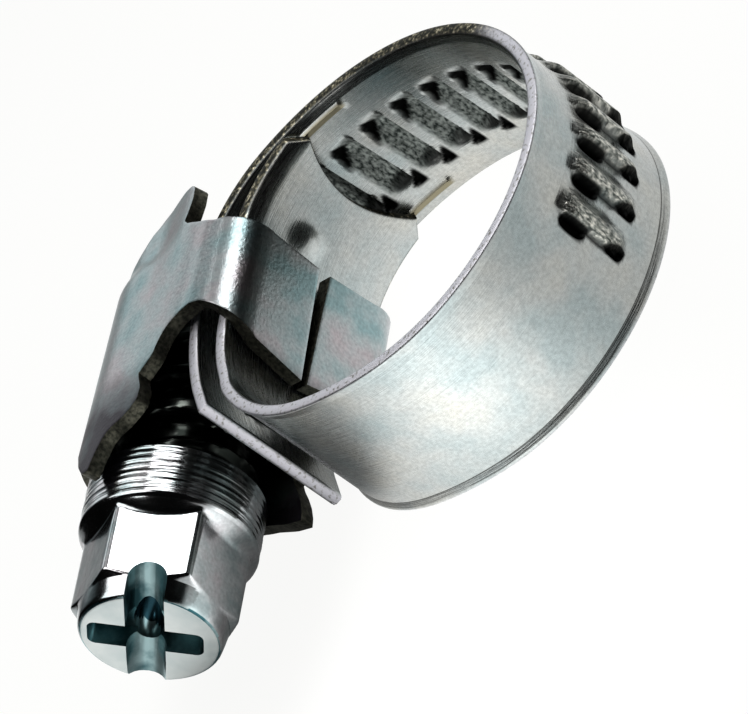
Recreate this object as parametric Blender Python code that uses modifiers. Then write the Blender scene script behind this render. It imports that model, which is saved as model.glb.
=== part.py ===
"""Worm drive hose clamp, lying on its side with the axis of its loop upright.

The loop's axis is Z. The housing is on the +Y side of the loop and the screw lies along X, head towards -X.
Sizes are in metres and angles in degrees. The "inner" side of a sheet faces the middle of the loop, and a
"level" is a distance from the middle of the loop towards the housing. "Head" and "tail" are the two ends of
the housing.
"""
from math import asin, cos, pi, radians, sin, sqrt, tan

import bmesh
import bpy
from mathutils import Euler, Matrix, Vector

MM = 0.001

# Strip: stock size and pressed thread
BAND_WIDTH = 7.5 * MM
BAND_THICKNESS = 0.55 * MM
THREAD_PITCH = 1.76 * MM
RIDGE_HEIGHT = 0.6 * MM
RIDGE_LENGTH = 3.5 * MM
RIDGE_RISE = 0.15 * MM
RIDGE_CREST = 0.4 * MM
RIDGE_SLOPE = 0.8 * MM
RIDGE_END = 0.35 * MM
CREST_HOLE = 0.8 * MM
WEB_HOLE = 1.2 * MM
THREAD_RUN = 39.0 * MM
THREAD_MARGIN = 0.9 * MM
EDGE_ROLL_WIDTH = 0.45 * MM
EDGE_ROLL_LIFT = 0.15 * MM
EDGE_ROLL_START = 3.3 * MM

# Strip: how it is bent, as inner radii and angles, from the tongue to the free end
TONGUE_RADIUS = 5.4 * MM
TONGUE_ANGLE = 56.0
TONGUE_BEND_X = 2.5 * MM
HEAD_BEND_X = -1.4 * MM
HEAD_RADIUS = 6.9 * MM
HEAD_ANGLE = 81.5
SHOULDER_RADIUS = 13.1 * MM
SHOULDER_ANGLE = 17.5
BOTTOM_RADIUS = 7.85 * MM
BOTTOM_ANGLE = 119.0
SIDE_ANGLE = 87.3
ENTRY_RADIUS = 5.35 * MM
FREE_BEND_X = 0.5 * MM
FREE_RADIUS = 12.4 * MM
FREE_ANGLE = 31.0
NOTCH_DEPTH = 1.05 * MM
NOTCH_BLEND = 3.2 * MM
CORNER_CHAMFER = 0.7 * MM
DIMPLE_RADIUS = 0.8 * MM
DIMPLE_HEIGHT = 0.3 * MM
DIMPLE_X = 4.15 * MM
DIMPLE_Z = 0.75 * MM

# Screw, placed by the level of its axis and the back face of its collar
SCREW_LEVEL = 13.35 * MM
COLLAR_BACK_X = -5.75 * MM
COLLAR_RADIUS = 3.7 * MM
COLLAR_LENGTH = 2.5 * MM
HEX_ACROSS_FLATS = 6.0 * MM
HEX_LENGTH = 4.45 * MM
HEX_FACE_INSET = 0.09 * MM
HEX_CHAMFER_ANGLE = 32.0
HEX_TURN = 48.2
SLOT_WIDTH = 1.6 * MM
SLOT_DEPTH = 1.15 * MM
SLOT_TURN = 133.3
CROSS_WIDTH = 1.4 * MM
CROSS_SPAN = 4.7 * MM
CROSS_DEPTH = 1.1 * MM
NECK_LENGTH = 0.75 * MM
NECK_RADIUS = 2.7 * MM
THREAD_RADIUS = 3.2 * MM
THREAD_DEPTH = 0.65 * MM
THREAD_CREST = 0.4 * MM
THREAD_ROOT = 0.8 * MM
THREAD_TURNS = 5
PILOT_RADIUS = 2.2 * MM
PILOT_LENGTH = 0.7 * MM

# Housing: sheet and section
SHEET = 0.65 * MM
LEG_LEVEL = 6.45 * MM
LEG_BEND = 1.05 * MM
SEAM_GAP = 0.4 * MM

# Housing: outline in side view, measured from the strip and the screw
LEG_PAST_TONGUE_BEND = 0.35 * MM
LEG_PAST_HEAD_BEND = 1.2 * MM
RELIEF_RADIUS = 1.9 * MM
RELIEF_PAST_BEND = 1.35 * MM
RELIEF_ABOVE_STRIP = 1.35 * MM
LIP_LENGTH = 1.2 * MM
LIP_RISE = 0.5 * MM
CHEEK_REACH = 1.65 * MM
CHEEK_BELOW_AXIS = 0.15 * MM
CHEEK_FACE = 0.35 * MM
CHEEK_LENGTH = 1.8 * MM
CHEEK_DROP = 0.8 * MM
CROWN_SETBACK = 0.85 * MM
CROWN_CORNER = 1.75 * MM
CROWN_TAIL_REACH = 0.4 * MM
HORN_REACH = 1.4 * MM
HORN_ROOT = 0.9 * MM
HORN_ABOVE_STRIP = 0.6 * MM
HORN_RISE = 1.7 * MM
HORN_SLANT = 0.4 * MM
TAIL_EDGE_SLANT = 0.1 * MM

# Clearances between the pieces
SEAT_GAP = 0.25 * MM
SIDE_GAP = 0.15 * MM
WALL_ABOVE_STRIP = 0.35 * MM
COLLAR_GAP = 0.5 * MM
CROWN_GAP = 0.15 * MM
CROWN_SIDE_GAP = 0.25 * MM
ENGAGEMENT = 0.25 * MM

# Places that follow from the sizes above
FIXED_LEVEL = LEG_LEVEL + SHEET + SEAT_GAP
THREADED_LEVEL = SCREW_LEVEL - THREAD_RADIUS + ENGAGEMENT - RIDGE_HEIGHT - BAND_THICKNESS
WALL_HALF = max(BAND_WIDTH / 2, COLLAR_RADIUS) + SIDE_GAP + SHEET
WALL_TOP = THREADED_LEVEL + WALL_ABOVE_STRIP
CROWN_TOP = SCREW_LEVEL + THREAD_RADIUS + CROWN_GAP + SHEET
HEX_BACK_X = COLLAR_BACK_X - COLLAR_LENGTH
HEAD_FACE_X = HEX_BACK_X - HEX_LENGTH
THREAD_HEAD_X = COLLAR_BACK_X + NECK_LENGTH
THREAD_TAIL_X = THREAD_HEAD_X + THREAD_TURNS * THREAD_PITCH + THREAD_ROOT
CHEEK_X = COLLAR_BACK_X - CHEEK_REACH
CROWN_HEAD_X = COLLAR_BACK_X + CROWN_SETBACK
CROWN_TAIL_X = THREAD_TAIL_X + CROWN_TAIL_REACH
HORN_X = CROWN_TAIL_X + HORN_REACH
HORN_LEVEL = THREADED_LEVEL + BAND_THICKNESS + HORN_ABOVE_STRIP

# Fineness of the mesh, and how far a cutter reaches past what it cuts
PLAIN_STEP = 1.1 * MM
SAME_PLACE = 0.001 * MM
SHORTEST_ROW = 0.05 * MM
ROUND_STEPS = 36
THREAD_STEPS = 18
BEND_STEPS = 5
CROWN_STEPS = 8
RELIEF_STEPS = 10
HOUSING_STATIONS = 5
CUT_MARGIN = 0.5 * MM


def clear_scene():
    for obj in list(bpy.data.objects):
        bpy.data.objects.remove(obj)


def material(name, colour, roughness):
    made = bpy.data.materials.new(name)
    made.use_nodes = True
    shader = made.node_tree.nodes["Principled BSDF"]
    shader.inputs["Base Color"].default_value = (*colour, 1.0)
    shader.inputs["Metallic"].default_value = 1.0
    shader.inputs["Roughness"].default_value = roughness
    made.diffuse_color = (*colour, 1.0)
    return made


def add_object(name, mesh, collection, parent=None):
    obj = bpy.data.objects.new(name, mesh)
    collection.objects.link(obj)
    obj.parent = parent
    return obj


def mesh_from(name, bm):
    bmesh.ops.recalc_face_normals(bm, faces=bm.faces)
    mesh = bpy.data.meshes.new(name)
    bm.to_mesh(mesh)
    bm.free()
    return mesh


def add_cutter(name, mesh, collection, parent):
    """An object that only shapes others, so it is neither rendered nor drawn solid."""
    cutter = add_object(name, mesh, collection, parent)
    cutter.hide_render = True
    cutter.display_type = "WIRE"
    return cutter


def add_boolean(obj, cutter, operation):
    modifier = obj.modifiers.new(f"{operation.title()} {cutter.name}", "BOOLEAN")
    modifier.object = cutter
    modifier.operation = operation
    modifier.solver = "EXACT"


def box_mesh(name, size, centre, turn=0.0):
    bm = bmesh.new()
    bmesh.ops.create_cube(bm, size=1.0)
    bmesh.ops.scale(bm, verts=bm.verts, vec=size)
    bmesh.ops.translate(bm, verts=bm.verts, vec=centre)
    bmesh.ops.rotate(bm, verts=bm.verts, matrix=Matrix.Rotation(radians(turn), 3, "Z"))
    return mesh_from(name, bm)


def side_radius():
    """The inner radius of the bend that brings the strip back to its level under the screw."""
    heading = pi
    rise = FIXED_LEVEL - THREADED_LEVEL
    share = 0.0
    bends = (
        (HEAD_RADIUS, HEAD_ANGLE),
        (SHOULDER_RADIUS, SHOULDER_ANGLE),
        (BOTTOM_RADIUS, BOTTOM_ANGLE),
        (None, SIDE_ANGLE),
        (ENTRY_RADIUS, entry_angle()),
    )
    for radius, angle in bends:
        turned = heading + radians(angle)
        if radius is None:
            share = cos(heading) - cos(turned)
        else:
            rise += radius * (cos(heading) - cos(turned))
        heading = turned
    return -rise / share


def entry_angle():
    return 360.0 - HEAD_ANGLE - SHOULDER_ANGLE - BOTTOM_ANGLE - SIDE_ANGLE


class Strip:
    """The strip's inner face as straight runs and bends, walked from the tongue's end to the free end."""

    def __init__(self):
        turn = radians(TONGUE_ANGLE)
        self.runs = []
        self.x = TONGUE_BEND_X + TONGUE_RADIUS * sin(turn)
        self.y = FIXED_LEVEL - TONGUE_RADIUS * (1 - cos(turn))
        self.heading = pi - turn
        self.length = 0.0
        self.add(TONGUE_RADIUS, TONGUE_ANGLE)
        self.straight_to(HEAD_BEND_X)
        self.roll_length = self.length + EDGE_ROLL_START
        self.add(HEAD_RADIUS, HEAD_ANGLE)
        self.add(SHOULDER_RADIUS, SHOULDER_ANGLE)
        self.add(BOTTOM_RADIUS, BOTTOM_ANGLE)
        self.add(side_radius(), SIDE_ANGLE)
        self.add(ENTRY_RADIUS, entry_angle())
        self.mouth_x = self.x
        self.mouth_length = self.length
        self.straight_to(FREE_BEND_X)
        self.add(FREE_RADIUS, FREE_ANGLE)

    def straight_to(self, x):
        self.add(None, self.x - x)

    def add(self, radius, amount):
        """A bend of this inner radius and angle or, without a radius, a straight run of this length."""
        run_length = amount if radius is None else radius * radians(amount)
        self.runs.append((self.length, self.x, self.y, self.heading, radius))
        self.x, self.y, self.heading = self.along(self.runs[-1], run_length)
        self.length += run_length

    def along(self, run, distance):
        _, x, y, heading, radius = run
        if radius is None:
            return x + distance * cos(heading), y + distance * sin(heading), heading
        turned = heading + distance / radius
        return (
            x + radius * (sin(turned) - sin(heading)),
            y + radius * (cos(heading) - cos(turned)),
            turned,
        )

    def place(self, distance, height, across):
        """The point at this distance from the tongue's end, raised off the inner face and moved along Z."""
        run = [r for r in self.runs if r[0] <= max(distance, 0.0)][-1]
        x, y, heading = self.along(run, distance - run[0])
        return Vector((x + height * sin(heading), y - height * cos(heading), across))


def first_ridge(strip):
    """Distance from the tongue's end to the steep foot of the first ridge of the pressed thread."""
    last = strip.length - THREAD_MARGIN - RIDGE_RISE - RIDGE_CREST
    return last - (ridge_count() - 1) * THREAD_PITCH


def ridge_count():
    return int(THREAD_RUN / THREAD_PITCH)


def thread_lean():
    """How far a ridge leans along the strip for each unit across it, to follow the worm's lead."""
    return THREAD_PITCH / (2 * pi * (THREAD_RADIUS - THREAD_DEPTH / 2))


def band_distances(strip):
    """Where the strip's mesh has its cross rows: four to a ridge in the thread, and evenly elsewhere."""
    first = first_ridge(strip)
    plain = max(2, round(first / PLAIN_STEP))
    rows = [first * i / plain for i in range(plain)]
    for ridge in range(ridge_count()):
        foot = first + ridge * THREAD_PITCH
        rows += [foot, foot + RIDGE_RISE, foot + RIDGE_RISE + RIDGE_CREST]
        rows.append(foot + RIDGE_RISE + RIDGE_CREST + RIDGE_SLOPE)
    return [row for row in rows if row < strip.length - SHORTEST_ROW] + [strip.length]


def band_mesh(strip):
    """The strip pierced and pressed flat, then bent along its runs.

    Each ridge has a steep side towards the tongue, a crest and a long slope. Its crest is torn open at the -Z
    end, and the flat web behind it at the +Z end.
    """
    half = BAND_WIDTH / 2
    end = RIDGE_LENGTH / 2
    across = [-half, EDGE_ROLL_WIDTH - half, -end, RIDGE_END - end, CREST_HOLE - end]
    across += [end - WEB_HOLE, end - RIDGE_END, end, half - EDGE_ROLL_WIDTH, half]
    distances = band_distances(strip)
    first = first_ridge(strip)
    rise_end = RIDGE_RISE - SAME_PLACE
    crest_end = RIDGE_RISE + RIDGE_CREST + SAME_PLACE
    slope_end = crest_end + RIDGE_SLOPE
    bm = bmesh.new()
    bmesh.ops.create_grid(bm, x_segments=len(distances) - 1, y_segments=len(across) - 1, size=1.0)
    place_grid(bm, lambda column, row: (distances[column], across[row], 0.0))

    holes = []
    for face in bm.faces:
        distance, z, _ = face.calc_center_median()
        past_foot = (distance - first) % THREAD_PITCH
        torn_crest = rise_end < past_foot < crest_end and -end < z < CREST_HOLE - end
        torn_web = past_foot > slope_end and end - WEB_HOLE < z < end
        if first < distance < strip.length - THREAD_MARGIN and (torn_crest or torn_web):
            holes.append(face)
    bmesh.ops.delete(bm, geom=holes, context="FACES")

    solid = bmesh.ops.extrude_face_region(bm, geom=list(bm.faces))
    outer = [v for v in solid["geom"] if isinstance(v, bmesh.types.BMVert)]
    bmesh.ops.translate(bm, verts=outer, vec=(0, 0, BAND_THICKNESS))

    lean = thread_lean()
    for vert in bm.verts:
        distance, z, height = vert.co
        past_foot = (distance - first) % THREAD_PITCH
        in_thread = first - SAME_PLACE < distance < strip.length - SHORTEST_ROW
        if in_thread and rise_end < past_foot < crest_end and abs(z) < end - SAME_PLACE:
            height += RIDGE_HEIGHT
        if in_thread and abs(z) < end + SAME_PLACE:
            distance += lean * z
        if abs(z) > half - SAME_PLACE and strip.roll_length < distance < strip.mouth_length:
            height += EDGE_ROLL_LIFT
        distance += end_set_back(distance, z)
        vert.co = strip.place(distance, height, z)
    return mesh_from("band", bm)


def place_grid(bm, place):
    """Moves each point of a flat grid to place(column, row)."""
    columns = sorted({round(v.co.x, 5) for v in bm.verts})
    rows = sorted({round(v.co.y, 5) for v in bm.verts})
    for vert in bm.verts:
        vert.co = place(columns.index(round(vert.co.x, 5)), rows.index(round(vert.co.y, 5)))


def end_set_back(distance, z):
    """How far the tongue's end edge lies back from its furthest point: a hollow arc between cut corners."""
    flat_half = BAND_WIDTH / 2 - CORNER_CHAMFER
    fade = max(0.0, 1.0 - distance / NOTCH_BLEND)
    hollow = NOTCH_DEPTH * (1 - min(1.0, abs(z) / flat_half) ** 2)
    corner = max(0.0, abs(z) - flat_half)
    return fade * (hollow + corner)


def dimple_mesh(strip):
    """The bump pressed into the tongue towards the loop's middle, just outside the legs' tail edge."""
    bm = bmesh.new()
    bmesh.ops.create_uvsphere(bm, u_segments=16, v_segments=10, radius=1.0)
    sphere = (DIMPLE_RADIUS ** 2 + DIMPLE_HEIGHT ** 2) / (2 * DIMPLE_HEIGHT)
    bmesh.ops.scale(bm, verts=bm.verts, vec=(sphere, sphere, sphere))
    turn = asin((DIMPLE_X - TONGUE_BEND_X) / TONGUE_RADIUS)
    surface = Vector((DIMPLE_X, FIXED_LEVEL - TONGUE_RADIUS * (1 - cos(turn)), DIMPLE_Z))
    outward = Vector((sin(turn), cos(turn), 0.0))
    bmesh.ops.translate(bm, verts=bm.verts, vec=surface + outward * (sphere - DIMPLE_HEIGHT))
    keep = BAND_THICKNESS / 2
    below = surface + outward * keep
    geom = list(bm.verts) + list(bm.edges) + list(bm.faces)
    cut = bmesh.ops.bisect_plane(bm, geom=geom, plane_co=below, plane_no=outward, clear_outer=True)
    edges = [e for e in cut["geom_cut"] if isinstance(e, bmesh.types.BMEdge)]
    bmesh.ops.contextual_create(bm, geom=edges)
    return mesh_from("dimple", bm)


def crown_radius(x):
    """The crown's outer radius, which narrows from the collar's end to the thread's end."""
    head = COLLAR_RADIUS + COLLAR_GAP + SHEET
    tail = THREAD_RADIUS + CROWN_SIDE_GAP + SHEET
    return head + (tail - head) * (x - CHEEK_X) / (HORN_X - CHEEK_X)


def housing_section(x):
    """The sheet's outer face across the screw at this x, from the seam round the crown and back to it."""
    radius = crown_radius(x)
    centre = CROWN_TOP - radius
    foot = WALL_HALF - LEG_BEND
    half = [(LEG_LEVEL, SEAM_GAP / 2), (LEG_LEVEL, foot)]
    for i in range(1, BEND_STEPS + 1):
        turn = pi / 2 * i / BEND_STEPS
        half.append((LEG_LEVEL + LEG_BEND * (1 - cos(turn)), foot + LEG_BEND * sin(turn)))
    half.append((WALL_TOP, WALL_HALF))
    for i in range(CROWN_STEPS + 1):
        turn = pi / 2 * i / CROWN_STEPS
        half.append((centre + radius * sin(turn), radius * cos(turn)))
    return half + [(y, -z) for y, z in reversed(half[:-1])]


def housing_mesh():
    start = CHEEK_X - CUT_MARGIN
    length = HORN_X + CUT_MARGIN - start
    stations = [start + length * i / (HOUSING_STATIONS - 1) for i in range(HOUSING_STATIONS)]
    sections = [housing_section(x) for x in stations]
    bm = bmesh.new()
    bmesh.ops.create_grid(bm, x_segments=len(stations) - 1, y_segments=len(sections[0]) - 1, size=1.0)
    place_grid(bm, lambda column, row: (stations[column], *sections[column][row]))
    return mesh_from("housing", bm)


def arc_points(centre, radius, start, end, steps):
    """Points of an arc in the XY plane, with its angles in degrees."""
    turns = [radians(start + (end - start) * i / steps) for i in range(steps + 1)]
    return [(centre[0] + radius * cos(t), centre[1] + radius * sin(t)) for t in turns]


def housing_outline_mesh():
    """The housing's side view, which trims the bent sheet: cheek, relief over the strip, and tail horn."""
    below = LEG_LEVEL - CUT_MARGIN
    above = CROWN_TOP + CUT_MARGIN
    leg_tail_x = TONGUE_BEND_X + LEG_PAST_TONGUE_BEND
    leg_head_x = HEAD_BEND_X - LEG_PAST_HEAD_BEND
    relief = (HEAD_BEND_X - RELIEF_PAST_BEND, FIXED_LEVEL + RELIEF_ABOVE_STRIP)
    cheek_level = SCREW_LEVEL - CHEEK_BELOW_AXIS
    points = [
        (leg_head_x, below),
        (leg_tail_x, below),
        (leg_tail_x + TAIL_EDGE_SLANT, LEG_LEVEL + LEG_BEND),
        (CROWN_TAIL_X - HORN_ROOT, HORN_LEVEL),
        (HORN_X, HORN_LEVEL),
        (HORN_X - HORN_SLANT, HORN_LEVEL + HORN_RISE),
        (CROWN_TAIL_X, SCREW_LEVEL),
        (CROWN_TAIL_X, above),
        (CROWN_HEAD_X, above),
        (CROWN_HEAD_X, SCREW_LEVEL + CROWN_CORNER),
        (CHEEK_X, cheek_level + CHEEK_FACE),
        (CHEEK_X, cheek_level),
        (CHEEK_X + CHEEK_LENGTH, cheek_level - CHEEK_DROP),
        (relief[0] - LIP_LENGTH, relief[1] + RELIEF_RADIUS + LIP_RISE),
    ]
    points += arc_points(relief, RELIEF_RADIUS, 90, -40, RELIEF_STEPS)
    points.append((leg_head_x, LEG_LEVEL + SHEET / 2))
    reach = crown_radius(CHEEK_X) + CUT_MARGIN
    bm = bmesh.new()
    face = bm.faces.new([bm.verts.new((x, y, -reach)) for x, y in points])
    made = bmesh.ops.extrude_face_region(bm, geom=[face])
    top = [v for v in made["geom"] if isinstance(v, bmesh.types.BMVert)]
    bmesh.ops.translate(bm, verts=top, vec=(0, 0, 2 * reach))
    return mesh_from("housing_outline", bm)


def profile_object(name, points, collection, closed=False):
    """Edges through (radius, height) points at local +X, for a Screw modifier to turn about Z."""
    bm = bmesh.new()
    verts = [bm.verts.new((radius, 0.0, height)) for radius, height in points]
    pairs = list(zip(verts, verts[1:]))
    if closed:
        pairs.append((verts[-1], verts[0]))
    for first, second in pairs:
        bm.edges.new((first, second))
    mesh = bpy.data.meshes.new(name)
    bm.to_mesh(mesh)
    bm.free()
    return add_object(f"{name}_profile", mesh, collection)


def add_screw(obj, steps, turns=1, rise=0.0):
    modifier = obj.modifiers.new("Turn", "SCREW")
    modifier.axis = "Z"
    modifier.steps = steps
    modifier.render_steps = steps
    modifier.iterations = turns
    modifier.screw_offset = rise
    modifier.use_merge_vertices = rise == 0.0
    modifier.merge_threshold = 0.00001


def turned_mesh(name, profile, collection):
    """A solid turned round local Z from (radius, height) points given top to bottom."""
    source = profile_object(name, profile, collection)
    add_screw(source, ROUND_STEPS)
    return evaluated(source, name)


def evaluated(obj, name):
    """The object's mesh with its modifiers applied. The object itself is removed."""
    bpy.context.view_layer.update()
    graph = bpy.context.evaluated_depsgraph_get()
    mesh = bpy.data.meshes.new_from_object(obj.evaluated_get(graph))
    mesh.name = name
    bpy.data.objects.remove(obj)
    return mesh


def hex_mesh():
    bm = bmesh.new()
    corner = HEX_ACROSS_FLATS / sqrt(3)
    bmesh.ops.create_cone(
        bm, cap_ends=True, segments=6, radius1=corner, radius2=corner, depth=HEX_LENGTH
    )
    bmesh.ops.rotate(bm, verts=bm.verts, matrix=Matrix.Rotation(radians(HEX_TURN), 3, "Z"))
    bmesh.ops.translate(bm, verts=bm.verts, vec=(0, 0, -(HEAD_FACE_X + HEX_BACK_X) / 2))
    return mesh_from("hex", bm)


def chamfer_profile():
    """The cone that takes the corners off the hexagon's outer end."""
    top = -HEAD_FACE_X
    foot = -COLLAR_BACK_X
    face = HEX_ACROSS_FLATS / 2 - HEX_FACE_INSET
    wide = HEX_ACROSS_FLATS / sqrt(3) + CUT_MARGIN
    drop = (wide - face) * tan(radians(HEX_CHAMFER_ANGLE))
    return [(0.0, top), (face, top), (wide, top - drop), (wide, foot), (0.0, foot)]


def shank_profile():
    """Collar, neck, thread root and pilot, from a stub inside the hexagon down along local Z."""
    stub = HEX_ACROSS_FLATS / 2 - CUT_MARGIN
    root = THREAD_RADIUS - THREAD_DEPTH
    tip = THREAD_TAIL_X + PILOT_LENGTH
    return [
        (0.0, CUT_MARGIN - HEX_BACK_X),
        (stub, CUT_MARGIN - HEX_BACK_X),
        (stub, -HEX_BACK_X),
        (COLLAR_RADIUS, -HEX_BACK_X),
        (COLLAR_RADIUS, -COLLAR_BACK_X),
        (NECK_RADIUS, -COLLAR_BACK_X),
        (NECK_RADIUS, -THREAD_HEAD_X),
        (root, -THREAD_HEAD_X),
        (root, -THREAD_TAIL_X),
        (PILOT_RADIUS, -THREAD_TAIL_X),
        (PILOT_RADIUS, -tip),
        (0.0, -tip),
    ]


def worm_mesh(strip, collection):
    """The worm's helical ridge as a closed solid, turned so that it passes between the strip's ridges.

    The helix starts at local +X and rises along local Z. It faces the strip after three quarters of a turn.
    """
    foot = -(THREAD_TAIL_X - THREAD_ROOT)
    sunk = THREAD_RADIUS - THREAD_DEPTH - CUT_MARGIN / 2
    foot_x = strip.mouth_x - (first_ridge(strip) - strip.mouth_length)
    gap_start = RIDGE_RISE + RIDGE_CREST + RIDGE_SLOPE * ENGAGEMENT / RIDGE_HEIGHT
    valley = (gap_start + THREAD_PITCH) / 2 - foot_x
    facing_strip = foot + THREAD_PITCH * 3 / 4
    turn = -2 * pi * (valley - facing_strip) / THREAD_PITCH
    section = [
        (sunk, foot - THREAD_ROOT / 2),
        (THREAD_RADIUS, foot - THREAD_CREST / 2),
        (THREAD_RADIUS, foot + THREAD_CREST / 2),
        (sunk, foot + THREAD_ROOT / 2),
    ]
    source = profile_object("worm", section, collection, closed=True)
    add_screw(source, THREAD_STEPS, THREAD_TURNS, THREAD_PITCH)
    bm = bmesh.new()
    bm.from_mesh(evaluated(source, "worm"))
    bmesh.ops.remove_doubles(bm, verts=bm.verts, dist=SAME_PLACE)
    bmesh.ops.holes_fill(bm, edges=bm.edges, sides=len(section))
    bmesh.ops.rotate(bm, verts=bm.verts, matrix=Matrix.Rotation(turn, 3, "Z"))
    return mesh_from("worm", bm)


def cut_from_face(name, length, width, depth):
    """A bar that cuts this deep into the head's end face, set at the slot's angle."""
    size = (length, width, depth + CUT_MARGIN)
    centre = (0, 0, -HEAD_FACE_X - depth + size[2] / 2)
    return box_mesh(name, size, centre, SLOT_TURN)


def build_band(strip, parts, cutters, root):
    band = add_object("band", band_mesh(strip), parts, root)
    band.data.materials.append(material("zinc plated strip", (0.60, 0.64, 0.65), 0.32))
    dimple = add_cutter("dimple", dimple_mesh(strip), cutters, root)
    add_boolean(band, dimple, "UNION")


def build_housing(parts, cutters, root):
    housing = add_object("housing", housing_mesh(), parts, root)
    housing.data.materials.append(material("zinc plated sheet", (0.55, 0.60, 0.62), 0.36))
    wall = housing.modifiers.new("Sheet", "SOLIDIFY")
    wall.thickness = SHEET
    wall.offset = -1.0
    wall.use_even_offset = True
    outline = add_cutter("housing_outline", housing_outline_mesh(), cutters, root)
    add_boolean(housing, outline, "INTERSECT")


def build_screw(strip, parts, cutters, root):
    """The screw's own origin is on its axis, and its local Z points out of the head."""
    screw = add_object("worm_screw", hex_mesh(), parts, root)
    screw.location = (0.0, SCREW_LEVEL, 0.0)
    screw.rotation_euler = Euler((0.0, radians(-90.0), 0.0))
    screw.data.materials.append(material("turned zinc plated steel", (0.66, 0.69, 0.70), 0.28))
    tools = [
        (turned_mesh("chamfer", chamfer_profile(), cutters), "INTERSECT"),
        (turned_mesh("shank", shank_profile(), cutters), "UNION"),
        (worm_mesh(strip, cutters), "UNION"),
        (cut_from_face("slot", 2 * HEX_ACROSS_FLATS, SLOT_WIDTH, SLOT_DEPTH), "DIFFERENCE"),
        (cut_from_face("cross", CROSS_WIDTH, CROSS_SPAN, CROSS_DEPTH), "DIFFERENCE"),
    ]
    for mesh, operation in tools:
        tool = add_cutter(mesh.name, mesh, cutters, screw)
        add_boolean(screw, tool, operation)


def stand_on_origin(root, parts):
    """Moves the clamp so that the bottom centre of its box is the origin."""
    bpy.context.view_layer.update()
    graph = bpy.context.evaluated_depsgraph_get()
    corners = []
    for obj in parts.objects:
        if obj.type != "MESH":
            continue
        seen = obj.evaluated_get(graph)
        corners += [seen.matrix_world @ v.co for v in seen.to_mesh().vertices]
        seen.to_mesh_clear()
    low = [min(c[i] for c in corners) for i in range(3)]
    high = [max(c[i] for c in corners) for i in range(3)]
    root.location = (-(low[0] + high[0]) / 2, -(low[1] + high[1]) / 2, -low[2])


def main():
    clear_scene()
    parts = bpy.data.collections.new("worm_drive_hose_clamp")
    cutters = bpy.data.collections.new("cutters")
    bpy.context.scene.collection.children.link(parts)
    bpy.context.scene.collection.children.link(cutters)
    root = add_object("clamp", None, parts)
    strip = Strip()
    build_band(strip, parts, cutters, root)
    build_housing(parts, cutters, root)
    build_screw(strip, parts, cutters, root)
    stand_on_origin(root, parts)


main()
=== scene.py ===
from math import asin, cos, pi, radians, sin, sqrt, tan

import bmesh
import bpy
import numpy as np
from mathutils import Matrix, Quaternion, Vector


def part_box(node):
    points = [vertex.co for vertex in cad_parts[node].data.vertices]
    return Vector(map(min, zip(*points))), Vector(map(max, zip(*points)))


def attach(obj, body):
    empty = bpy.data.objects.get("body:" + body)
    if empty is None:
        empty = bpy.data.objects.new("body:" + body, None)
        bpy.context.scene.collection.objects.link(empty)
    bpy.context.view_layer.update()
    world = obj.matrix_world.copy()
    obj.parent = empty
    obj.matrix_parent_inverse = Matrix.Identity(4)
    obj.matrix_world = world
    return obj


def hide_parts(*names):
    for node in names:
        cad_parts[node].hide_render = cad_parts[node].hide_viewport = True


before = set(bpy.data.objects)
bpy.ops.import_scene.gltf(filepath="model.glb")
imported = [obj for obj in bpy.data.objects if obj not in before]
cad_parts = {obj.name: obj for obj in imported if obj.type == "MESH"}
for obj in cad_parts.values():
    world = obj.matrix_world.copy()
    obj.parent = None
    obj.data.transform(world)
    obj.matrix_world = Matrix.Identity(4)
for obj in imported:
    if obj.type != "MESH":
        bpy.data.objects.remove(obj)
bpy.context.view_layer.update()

# Camera
# The photograph is taken with a long lens from the head side, 29 degrees above the floor, and the camera is
# rolled so that the screw points to the lower left. The frame is 748 by 714 pixels.
MM = 0.001
CAMERA_AIM = Vector((-0.8, 0.0, 3.8)) * MM
CAMERA_AZIMUTH = -134.12
CAMERA_ELEVATION = 29.04
CAMERA_ROLL = -54.65
CAMERA_DISTANCE = 198.8 * MM
CAMERA_LENS = 240.9
PRINT_GAMMA = 0.88

view = Vector((
    cos(radians(CAMERA_AZIMUTH)) * cos(radians(CAMERA_ELEVATION)),
    sin(radians(CAMERA_AZIMUTH)) * cos(radians(CAMERA_ELEVATION)),
    sin(radians(CAMERA_ELEVATION)),
))
camera = bpy.data.objects.new("camera", bpy.data.cameras.new("camera"))
camera.data.lens = CAMERA_LENS
camera.data.sensor_width = 36.0
camera.data.clip_start = 0.01
camera.location = CAMERA_AIM + view * CAMERA_DISTANCE
camera.rotation_mode = "QUATERNION"
camera.rotation_quaternion = view.to_track_quat("Z", "Y") @ Quaternion((0, 0, 1), radians(CAMERA_ROLL))
bpy.context.scene.collection.objects.link(camera)
bpy.context.scene.camera = camera
bpy.context.scene.view_settings.view_transform = "Standard"
bpy.context.scene.view_settings.gamma = PRINT_GAMMA


# Floor and light
# The clamp lies on a glowing table of white acrylic. Its glow has a painted pool of light left of the loop,
# a fainter one inside the loop, and the clamp's painted shadow under the screw and housing. Soft lights
# stand overhead and beyond the screw's tail, where the room has its one pale wall. The rest of the room is
# dim, which gives plated steel its dark reflections.
def linear(code):
    """The linear colour of an sRGB hex code."""
    levels = [int(code[i:i + 2], 16) / 255 for i in (1, 3, 5)]
    return tuple(v / 12.92 if v <= 0.04045 else ((v + 0.055) / 1.055) ** 2.4 for v in levels) + (1.0,)


def add_node(tree, kind, inputs=None, ramp=None, **settings):
    """A shader node with its settings. An input is a value, or another node's socket to link."""
    made = tree.nodes.new(kind)
    for name, value in settings.items():
        setattr(made, name, value)
    for name, value in (inputs or {}).items():
        if isinstance(value, bpy.types.NodeSocket):
            tree.links.new(value, made.inputs[name])
        else:
            made.inputs[name].default_value = value
    for index, (place, colour) in enumerate(ramp or []):
        steps = made.color_ramp.elements
        step = steps[index] if index < len(steps) else steps.new(place)
        step.position = place
        step.color = colour
    return made


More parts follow.
